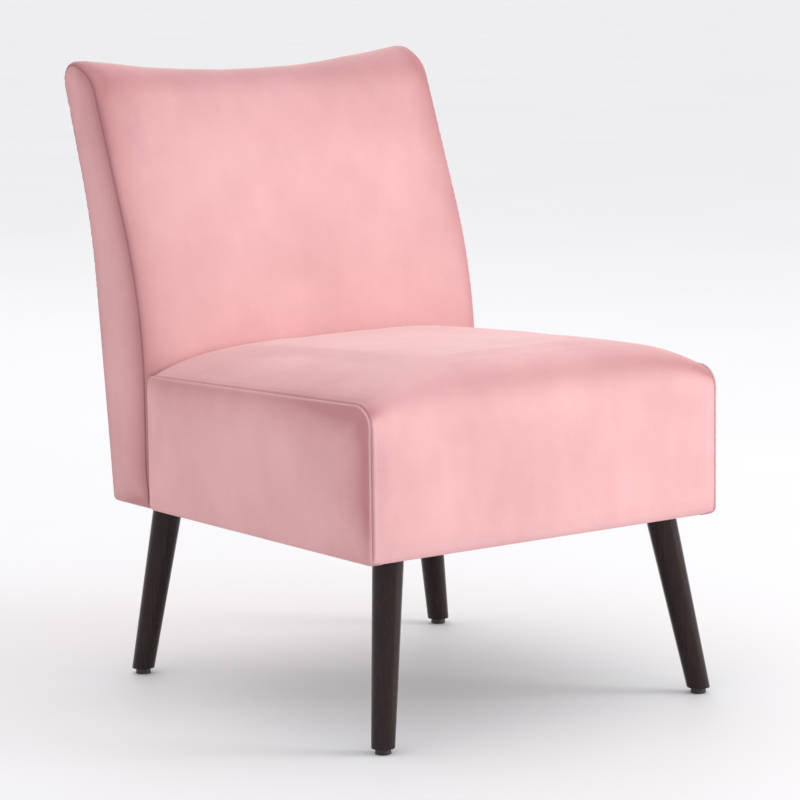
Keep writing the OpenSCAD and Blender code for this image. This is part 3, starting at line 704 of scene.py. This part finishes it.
def back_strip(name, base, seam_row, seed, facing):
    """A panel that runs across the back; base is its side view and seam_row the row of the
    seam that joins it to the other panel."""
    radius, angle = (np.full(len(base), value) for value in BACK_CORNER)
    x, inset, side_seam = strip_columns(BACK_HALF, radius, angle)
    columns = []
    for j in range(x.shape[1]):
        place = float(x[0, j])
        share = np.clip((abs(place) - (HALF_W - FALL_W)) / FALL_W, 0, 1) ** 2
        normal = outward(dipped(base, place), BACK_MIDDLE)
        deep = inset[:, j] + back_fall(base) * share
        columns.append(dipped(base, place) - normal * deep[:, None])
    points = np.concatenate([x[:, :, None], np.stack(columns, 1)], 2)
    normals = grid_normals(points, facing)
    along = reaches(points[:, x.shape[1] // 2])[:, None] + 0 * side_seam
    end_seam = np.abs(along - along[seam_row])
    above = step(0.44, 0.52, points[:, :, 2])
    lift = seam_dip(side_seam, SEAM_DEPTH, 0.0016) + seam_dip(end_seam, 0.0014, 0.0016)
    lift = lift + gathers(side_seam, along, 0.00035, seed) * above
    loose = step(0.0, 0.06, side_seam) * step(0, 0.05, end_seam) * above
    lift = lift + 0.0007 * ripples(points[:, :, 0], along, seed) * loose
    seam = np.minimum(side_seam, end_seam)
    # Painted shade on the strip: beside its side seams, in a band on the roll, and darker towards the
    # top of the back.
    edge = np.exp(-((points[:, :, 2] - ROLL_Z - 0.012) / 0.020) ** 2)
    high = step(UNDER + 0.25, ROLL_Z - 0.20, points[:, :, 2])
    high = 0.06 * high + 0.22 * step(ROLL_Z - 0.14, ROLL_Z - 0.01, points[:, :, 2])
    nap = np.clip(0.95 * np.exp(-side_seam / 0.023) + 0.35 * edge + high, 0, 1)
    return strip_mesh(name, points, normals, lift, seam, nap, Vector(facing))


def rear_seam_row():
    """The row of the rear top seam in the whole profile."""
    rear = np.arange(len(BACK_CURVE)) > BACK_APEX
    return int(np.argmin(np.abs(BACK_CURVE[:, 1] - (CHAIR_TOP - REAR_SEAM_DROP)) + ~rear))


def back_front_line():
    line = BACK_CURVE[: rear_seam_row() + 1]
    return np.concatenate([bottom_corner(BACK_Y, 1), line[1:]])


def back_rear_line():
    line = BACK_CURVE[rear_seam_row() :]
    return np.concatenate([line[:-1], bottom_corner(float(line[-1, 0]), -1)[::-1]])


def back_halves():
    """The back's side outline in two open halves, front and rear, bottom to top."""
    low = np.array([[BACK_Y + BACK_T / 2, UNDER]])
    front = np.concatenate([low, bottom_corner(BACK_Y, 1)[1:], BACK_CURVE[1 : BACK_APEX + 1]])
    rear_turn = bottom_corner(float(BACK_CURVE[-1, 0]), -1)[1:]
    rear = np.concatenate([low, rear_turn, BACK_CURVE[BACK_APEX:-1][::-1]])
    count = round(reaches(front)[-1] / OUTLINE_STEP)
    return resample(front, count), resample(rear, count)


def back_spine(points):
    """For each outline point, the point of the panel's middle line that it runs to."""
    z = np.clip(points[:, 1], UNDER + BACK_T / 2, ROLL_Z - 0.012)
    return np.stack([(front_y(z) + rear_y(z)) / 2, z], 1)


def back_corner(loop):
    return np.full(len(loop), BACK_CORNER[0]), np.full(len(loop), BACK_CORNER[1])


# ---------------------------------------------------------------- materials


def new_material(name):
    material = bpy.data.materials.new(name)
    material.use_nodes = True
    tree = material.node_tree
    tree.nodes.clear()
    output = tree.nodes.new("ShaderNodeOutputMaterial")
    shader = tree.nodes.new("ShaderNodeBsdfPrincipled")
    tree.links.new(shader.outputs[0], output.inputs[0])
    return material, tree, shader


def add(tree, kind, **inputs):
    """A node with its inputs set by name; an input may be another node's socket."""
    node = tree.nodes.new(kind)
    for key, value in inputs.items():
        if key.startswith("_"):
            setattr(node, key[1:], value)
            continue
        socket = node.inputs[int(key[1:]) if key[0] == "i" and key[1:].isdigit() else key]
        if isinstance(value, bpy.types.NodeSocket):
            tree.links.new(value, socket)
        else:
            socket.default_value = value
    return node


def noise(tree, vector, scale, detail=2.0, rough=0.5):
    return add(tree, "ShaderNodeTexNoise", Vector=vector, Scale=scale, Detail=detail, Roughness=rough)


def stretched(tree, vector, scale):
    return add(tree, "ShaderNodeMapping", Vector=vector, Scale=scale).outputs[0]


def ramp(tree, value, stops):
    node = add(tree, "ShaderNodeValToRGB", Fac=value)
    for i, (place, colour) in enumerate(stops):
        stop = node.color_ramp.elements[i] if i < 2 else node.color_ramp.elements.new(place)
        stop.position, stop.color = place, (*colour, 1)
    return node.outputs[0]


def mix(tree, share, a, b, kind="MIX"):
    """One colour mixed into another; i0, i6 and i7 are the colour mix's own sockets."""
    made = add(tree, "ShaderNodeMix", _data_type="RGBA", _blend_type=kind, i0=share, i6=a, i7=b)
    return made.outputs[2]


def scaled(tree, value, low, high, span=1.0):
    """The value from 0 to span, brought to between low and high."""
    limits = {"From Max": span, "To Min": low, "To Max": high}
    return add(tree, "ShaderNodeMapRange", Value=value, **limits).outputs[0]


def bump(tree, height, strength, distance, normal=None):
    node = add(tree, "ShaderNodeBump", Height=height, Strength=strength, Distance=distance)
    if normal is not None:
        tree.links.new(normal, node.inputs["Normal"])
    return node.outputs[0]


# Velvet: its two colours, the pile's, the tint of the painted shade, and the painted shade in the
# valley beside a seam and its width
VELVET_DEEP, VELVET_LIGHT = (0.70, 0.382, 0.388), (0.84, 0.490, 0.494)
PILE_DEEP, PILE_LIGHT = (0.63, 0.31, 0.315), (0.90, 0.56, 0.56)
PAINTED_SHADE_TINT = (0.66, 0.52, 0.54, 1)
SEAM_SHADE, SEAM_SHADE_W = 0.75, 0.004


def velvet():
    """Short-pile velvet: a deep base under a pale sheen, brushed patches and fine pile, darkened by
    painted shade beside the seams and by the painted shade each mesh carries.
    """
    material, tree, shader = new_material("velvet")
    place = add(tree, "ShaderNodeTexCoord").outputs["Object"]
    patches = noise(tree, place, 7, 3, 0.55).outputs[0]
    strokes = noise(tree, stretched(tree, place, (34, 34, 12)), 1, 3, 0.55).outputs[0]
    pile = noise(tree, place, 1400, 2, 0.6).outputs[0]
    base = ramp(tree, patches, [(0.3, VELVET_DEEP), (0.7, VELVET_LIGHT)])
    base = mix(tree, 0.2, base, ramp(tree, strokes, [(0.35, VELVET_DEEP), (0.65, VELVET_LIGHT)]))
    base = mix(tree, 0.25, base, ramp(tree, pile, [(0.3, PILE_DEEP), (0.7, PILE_LIGHT)]))
    # Painted shade in the seam's valley: the colour darkened to SEAM_SHADE at the seam and back to
    # full over SEAM_SHADE_W.
    near = add(tree, "ShaderNodeAttribute", _attribute_name="seam").outputs["Fac"]
    painted_seam_shade = scaled(tree, near, SEAM_SHADE, 1.0, SEAM_SHADE_W)
    grey = add(tree, "ShaderNodeCombineColor", Red=painted_seam_shade, Green=painted_seam_shade, Blue=painted_seam_shade).outputs[0]
    base = mix(tree, 1.0, base, grey, "MULTIPLY")
    # Painted shade carried by each mesh: the colour multiplied by the painted shade's tint as far as
    # the attribute says.
    nap = add(tree, "ShaderNodeAttribute", _attribute_name="nap").outputs["Fac"]
    base = mix(tree, nap, base, mix(tree, 1.0, base, PAINTED_SHADE_TINT, "MULTIPLY"))
    tree.links.new(base, shader.inputs["Base Color"])
    shader.inputs["Roughness"].default_value = 0.85
    shader.inputs["Specular IOR Level"].default_value = 0.15
    shader.inputs["Sheen Weight"].default_value = 0.50
    shader.inputs["Sheen Roughness"].default_value = 0.36
    shader.inputs["Sheen Tint"].default_value = (1.0, 0.84, 0.84, 1)
    soft = bump(tree, strokes, 0.15, 0.002)
    tree.links.new(bump(tree, pile, 0.25, 0.0006, soft), shader.inputs["Normal"])
    return material


def espresso():
    """Dark stained wood under satin lacquer, with grain along the leg."""
    material, tree, shader = new_material("leg_wood")
    place = add(tree, "ShaderNodeTexCoord").outputs["Object"]
    grain = noise(tree, stretched(tree, place, (260, 260, 7)), 1, 5, 0.62).outputs[0]
    fine = noise(tree, stretched(tree, place, (1400, 1400, 30)), 1, 3, 0.6).outputs[0]
    colour = ramp(tree, grain, [(0.3, (0.009, 0.0036, 0.0032)), (0.7, (0.028, 0.0105, 0.0090))])
    pores = ramp(tree, fine, [(0.4, (0.008, 0.0034, 0.0030)), (0.65, (0.026, 0.0105, 0.0090))])
    tree.links.new(mix(tree, 0.3, colour, pores), shader.inputs["Base Color"])
    tree.links.new(scaled(tree, grain, 0.20, 0.32), shader.inputs["Roughness"])
    shader.inputs["Specular IOR Level"].default_value = 0.20
    shader.inputs["Coat Weight"].default_value = 0.10
    shader.inputs["Coat Roughness"].default_value = 0.22
    tree.links.new(bump(tree, fine, 0.05, 0.0003), shader.inputs["Normal"])
    return material


def plain(name, low, high, scale, rough, metallic=0.0, strength=0.2, stretch=(1, 1, 1)):
    """A material of two colours mixed by noise, with a bump of the same grain."""
    material, tree, shader = new_material(name)
    place = stretched(tree, add(tree, "ShaderNodeTexCoord").outputs["Object"], stretch)
    grain = noise(tree, place, scale, 4, 0.6).outputs[0]
    tree.links.new(ramp(tree, grain, [(0.3, low), (0.7, high)]), shader.inputs["Base Color"])
    shader.inputs["Roughness"].default_value = rough
    shader.inputs["Metallic"].default_value = metallic
    tree.links.new(bump(tree, grain, strength, 0.0005), shader.inputs["Normal"])
    return material


def materials():
    """Every material by its slot; a plain one is two colours, a grain scale and a roughness."""
    white, rust = (0.92, 0.92, 0.90), (0.36, 0.25, 0.15)
    pine, pine_light = (0.48, 0.33, 0.17), (0.70, 0.53, 0.32)
    felt, felt_light = (0.006, 0.006, 0.006), (0.03, 0.03, 0.03)
    tape, tape_light = (0.02, 0.02, 0.022), (0.09, 0.09, 0.1)
    steel, steel_light = (0.22, 0.22, 0.23), (0.42, 0.42, 0.43)
    zinc, zinc_light = (0.48, 0.47, 0.42), (0.70, 0.69, 0.64)
    nylon, nylon_light = (0.012, 0.010, 0.008), (0.03, 0.026, 0.022)
    return {
        "velvet": velvet(),
        "leg_wood": espresso(),
        "foam": plain("foam", (0.80, 0.74, 0.55), (0.90, 0.86, 0.70), 900, 0.95),
        "wadding": plain("wadding", (0.78, 0.78, 0.74), white, 500, 0.95),
        "frame_wood": plain("frame_wood", pine, pine_light, 1, 0.7, stretch=(14, 160, 160)),
        "board": plain("board", (0.20, 0.13, 0.07), rust, 260, 0.85),
        "dust_cloth": plain("dust_cloth", felt, felt_light, 700, 0.9, strength=0.5),
        "webbing": plain("webbing", tape, tape_light, 600, 0.85, strength=0.4),
        "spring_steel": plain("spring_steel", steel, steel_light, 300, 0.4, 1.0),
        "bolt_steel": plain("bolt_steel", zinc, zinc_light, 300, 0.35, 1.0),
        "glide_plastic": plain("glide_plastic", nylon, nylon_light, 500, 0.5),
    }


MATERIALS = materials()


def dress(obj, slot, body="chair"):
    """Gives a new piece the material of its slot and its body."""
    obj.data.materials.clear()
    obj.data.materials.append(MATERIALS[slot])
    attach(obj, body)
    return obj


def dress_cad():
    """Gives every carried-over CAD node the material of its record slot."""
    for row in frame["record"]["subparts"]:
        obj = nodes[row["node"]]
        obj.data.materials.clear()
        obj.data.materials.append(MATERIALS[row["material_slot"]])


# ---------------------------------------------------------------- the chair's pieces

# Side panels: how far the outline has fallen, the slope left where its corner ends, the
# width over which it flattens, how the padding behind swells it, the painted shade along its
# edge and the width over which it fades, the lighter rim beside the seam left without it,
# and the painted shade over the whole panel
SEAT_SIDE = {
    "fall": no_fall,
    "nap": seat_painted_shade,
    "painted_shade_w": 0.021,
    "rim": 0.0055,
    "painted_shade_all": 0.20,
    "slope": 0.22,
    "round_w": 0.016,
    "pressure": 3.0,
    "swell": 0.003,
    "pucker": 0.0003,
    "seamed": seat_seamed,
}
BACK_SIDE = {
    "fall": back_side_fall,
    "nap": back_painted_shade,
    "painted_shade_w": 0.013,
    "rim": 0.0006,
    "painted_shade_all": 0.40,
    "slope": 0.20,
    "round_w": 0.012,
    "pressure": 4.0,
    "swell": 0.002,
    "pucker": 0.0004,
    "seamed": seamed,
}


# Padding under the velvet, and the material of each form
PADS = {
    "seat_foam": "foam",
    "seat_front_pad": "foam",
    "seat_side_pad_left": "foam",
    "seat_side_pad_right": "foam",
    "back_foam": "foam",
    "back_top_foam": "foam",
    "back_side_pad_left": "wadding",
    "back_side_pad_right": "wadding",
}

# Each form starts inset, is remeshed, swells for some frames up to a cap, and stays beneath
# the velvet; a frame part that meets the velvet stays beneath it too
PAD_INSET = 0.0035
PAD_VOXEL = 0.006
PAD_PRESSURE = 4.0
PAD_FRAMES = 20
PAD_CAP = 0.005
PAD_DEPTH = CLOTH_T + 0.0006
TRIM_DEPTH = 0.003

# The velvet's outer surfaces, for keeping what is inside beneath them
SKINS = {"seat": [], "back": []}


def under_velvet(points, skins, depth):
    """The points, those less than depth beneath the velvet moved in to that depth."""
    moved = points.copy()
    for _ in range(2):
        for skin in skins:
            for i, point in enumerate(moved):
                place, normal, _, distance = skin.find_nearest(Vector(point), 0.025)
                if place is not None and (Vector(point) - place).dot(normal) > -depth:
                    moved[i] = place - normal * depth
    return moved


def copied(name, word):
    """A new piece with a copy of a node's mesh, named after it."""
    obj = nodes[name].copy()
    obj.data = nodes[name].data.copy()
    obj.name = obj.data.name = f"{name[:4]}_{word}_{name[5:]}"
    bpy.context.scene.collection.objects.link(obj)
    for key in list(obj.keys()):
        del obj[key]
    obj.hide_render = False
    return obj


def trim(name):
    """A part of the back's frame whose edge meets the velvet: the node's shape, kept under it."""
    obj = copied(name, "trimmed")
    corners = np.array([vertex.co for vertex in obj.data.vertices])
    places = under_velvet(corners, SKINS[name[:4]], TRIM_DEPTH)
    obj.data.vertices.foreach_set("co", places.ravel())
    obj.data.update()
    dress(obj, "frame_wood")
    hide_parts(name)


def pad(name, slot):
    """A padded form under the velvet: the node's shape, remeshed and swollen as cloth."""
    obj = copied(name, "pad")
    remesh = obj.modifiers.new("even", "REMESH")
    remesh.mode, remesh.voxel_size = "VOXEL", PAD_VOXEL
    apply_modifier(obj, remesh)
    points = np.empty(len(obj.data.vertices) * 3)
    normals = np.empty(len(obj.data.vertices) * 3)
    obj.data.vertices.foreach_get("co", points)
    obj.data.vertices.foreach_get("normal", normals)
    points, normals = points.reshape(-1, 3), normals.reshape(-1, 3)
    start = points - normals * PAD_INSET
    obj.data.vertices.foreach_set("co", start.ravel())
    obj.data.update()
    moved = run_cloth(obj, PAD_PRESSURE, PAD_FRAMES) - start
    length = np.linalg.norm(moved, axis=1, keepdims=True)
    moved *= np.minimum(1, PAD_CAP / np.maximum(length, 1e-9))
    start = start + moved
    obj.data.vertices.foreach_set("co", under_velvet(start, SKINS[name[:4]], PAD_DEPTH).ravel())
    obj.data.update()
    dress(obj, slot)
    obj.data.polygons.foreach_set("use_smooth", [True] * len(obj.data.polygons))
    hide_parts(name)


def sew(obj, stands_for, flat):
    """Finishes a velvet panel: keeps its outer surface for what goes beneath it, gives it its
    thickness and its material, and hides the node it stands for. It works out its area, the panel's
    own as it is stretched without folds, capped at the flat size it was cut to, and does nothing more
    with it."""
    mesh, part = obj.data, obj.name[:4]
    area = sum(face.area for face in mesh.polygons)
    corners = [vertex.co for vertex in mesh.vertices]
    SKINS[part].append(BVHTree.FromPolygons(corners, [face.vertices for face in mesh.polygons]))
    thicken(obj, CLOTH_T)
    dress(obj, "velvet")
    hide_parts(stands_for)
    area = min(area, flat[0] * flat[1])


def build_seat():
    """The seat's velvet: a centre strip and two side panels."""
    sew(seat_strip(), "seat_cover_top", (0.590, 0.960))
    for side, name, seed in ((-1, "left", 20), (1, "right", 22)):
        panel = side_panel(
            f"seat_velvet_{name}", side, seat_halves(), seat_spine, seat_corner, SEAT_HALF,
            {**SEAT_SIDE, "seed": seed},
        )
        sew(panel, f"seat_cover_{name}", (0.560, 0.250))


def build_back():
    """The back's velvet: front, rear and two side panels."""
    front = back_front_line()
    sew(
        back_strip("back_velvet_front", front, len(front) - 1, 31, np.array([0, -1, 0.3])),
        "back_cover_front",
        (0.600, 0.780),
    )
    sew(
        back_strip("back_velvet_rear", back_rear_line(), 0, 32, np.array([0, 1, -0.3])),
        "back_cover_rear",
        (0.600, 0.560),
    )
    for side, name, seed in ((-1, "left", 40), (1, "right", 42)):
        panel = side_panel(
            f"back_velvet_{name}", side, back_halves(), back_spine, back_corner, BACK_HALF,
            {**BACK_SIDE, "seed": seed},
        )
        sew(panel, f"back_cover_{name}", (0.200, 0.630))


# The board's distance from the velvet, its thickness, how far it stands over the roll's
# lower edge, and its grid
BOARD_INSET = 0.0047
BOARD_T = 0.003
BOARD_ABOVE_ROLL = 0.006
BOARD_GRID = (55, 80)


def build_board():
    """The board behind the back, bent along its rear curve, its top edge following the dip."""
    low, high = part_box("back_board")
    rows = []
    for x in np.linspace(low.x, high.x, BOARD_GRID[0]):
        drop = TOP_DIP * max(0.0, 1 - (x / DIP_HALF) ** 2)
        z = np.linspace(low.z, ROLL_Z - drop + BOARD_ABOVE_ROLL, BOARD_GRID[1])
        rows.append(np.column_stack([0 * z + x, rear_y(z) - BOARD_INSET, z]))
    board = add_mesh("back_bent_board", np.concatenate(rows), grid_faces(*BOARD_GRID))
    finish_mesh(board, Vector((0, 1, 0)))
    thicken(board, BOARD_T)
    board.data.polygons.foreach_set("use_smooth", [False] * len(board.data.polygons))
    dress(board, "board")
    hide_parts("back_board")


# ---------------------------------------------------------------- studio


def add_floor():
    """A wide pale floor."""
    size = 60.0
    steps = 24
    lines = np.sign(np.linspace(-1, 1, steps + 1)) * np.abs(np.linspace(-1, 1, steps + 1)) ** 2 * size
    points = [(x, y, 0.0) for x in lines for y in lines]
    floor = add_mesh("floor", points, grid_faces(steps + 1, steps + 1))
    finish_mesh(floor, Vector((0, 0, 1)))
    material, tree, shader = new_material("floor")
    place = add(tree, "ShaderNodeTexCoord").outputs["Object"]
    tone = noise(tree, place, 1.5, 2, 0.5).outputs[0]
    colour = ramp(tree, tone, [(0.3, (0.86, 0.86, 0.87)), (0.7, (0.875, 0.875, 0.885))])
    tree.links.new(colour, shader.inputs["Base Color"])
    shader.inputs["Roughness"].default_value = 0.6
    shader.inputs["Specular IOR Level"].default_value = 0.2
    floor.data.materials.append(material)


def add_light(name, place, target, size, power, colour=(1, 1, 1)):
    light = bpy.data.lights.new(name, "AREA")
    light.shape, light.size, light.size_y = "RECTANGLE", size[0], size[1]
    light.energy, light.color = power, colour
    obj = bpy.data.objects.new(name, light)
    bpy.context.scene.collection.objects.link(obj)
    obj.location = place
    obj.rotation_euler = (Vector(target) - Vector(place)).to_track_quat("-Z", "Y").to_euler()


def add_studio():
    add_floor()
    world = bpy.data.worlds.new("studio")
    world.use_nodes = True
    background = world.node_tree.nodes["Background"]
    background.inputs[0].default_value = (0.99, 0.99, 1.0, 1)
    background.inputs[1].default_value = 0.98
    bpy.context.scene.world = world
    add_light("key", (3.3, -3.2, 1.6), (0, 0, 0.45), (1.8, 1.8), 92)
    add_light("backdrop", (1.2, 3.0, 3.0), (0.6, 1.6, 0), (2.5, 2.5), 12)


def add_camera():
    """A long lens from the front left, a little above the seat."""
    azimuth, elevation, roll = math.radians(-36.26), math.radians(8.30), -0.012
    target, distance = Vector((-0.012, -0.046, 0.412)), 4.646
    level = Vector((math.sin(azimuth), -math.cos(azimuth), 0)) * math.cos(elevation)
    back = level + Vector((0, 0, math.sin(elevation)))
    across = Vector((math.cos(azimuth), math.sin(azimuth), 0))
    above = back.cross(across)
    right = across * math.cos(roll) + above * math.sin(roll)
    up = above * math.cos(roll) - across * math.sin(roll)
    camera = bpy.data.cameras.new("camera")
    camera.lens, camera.sensor_width = 157.5, 36
    camera.shift_x, camera.shift_y = 0.001, -0.0258
    camera.clip_end = 200
    obj = bpy.data.objects.new("camera", camera)
    bpy.context.scene.collection.objects.link(obj)
    turn = Matrix((right, up, back)).transposed().to_4x4()
    obj.matrix_world = Matrix.Translation(target + back * distance) @ turn
    bpy.context.scene.camera = obj


bpy.context.scene.view_settings.view_transform = "Standard"
add_camera()
add_studio()
dress_cad()
build_seat()
build_back()
build_board()
for node in ("back_top_rail", "back_post_left", "back_post_right"):
    trim(node)
for node, slot in PADS.items():
    pad(node, slot)
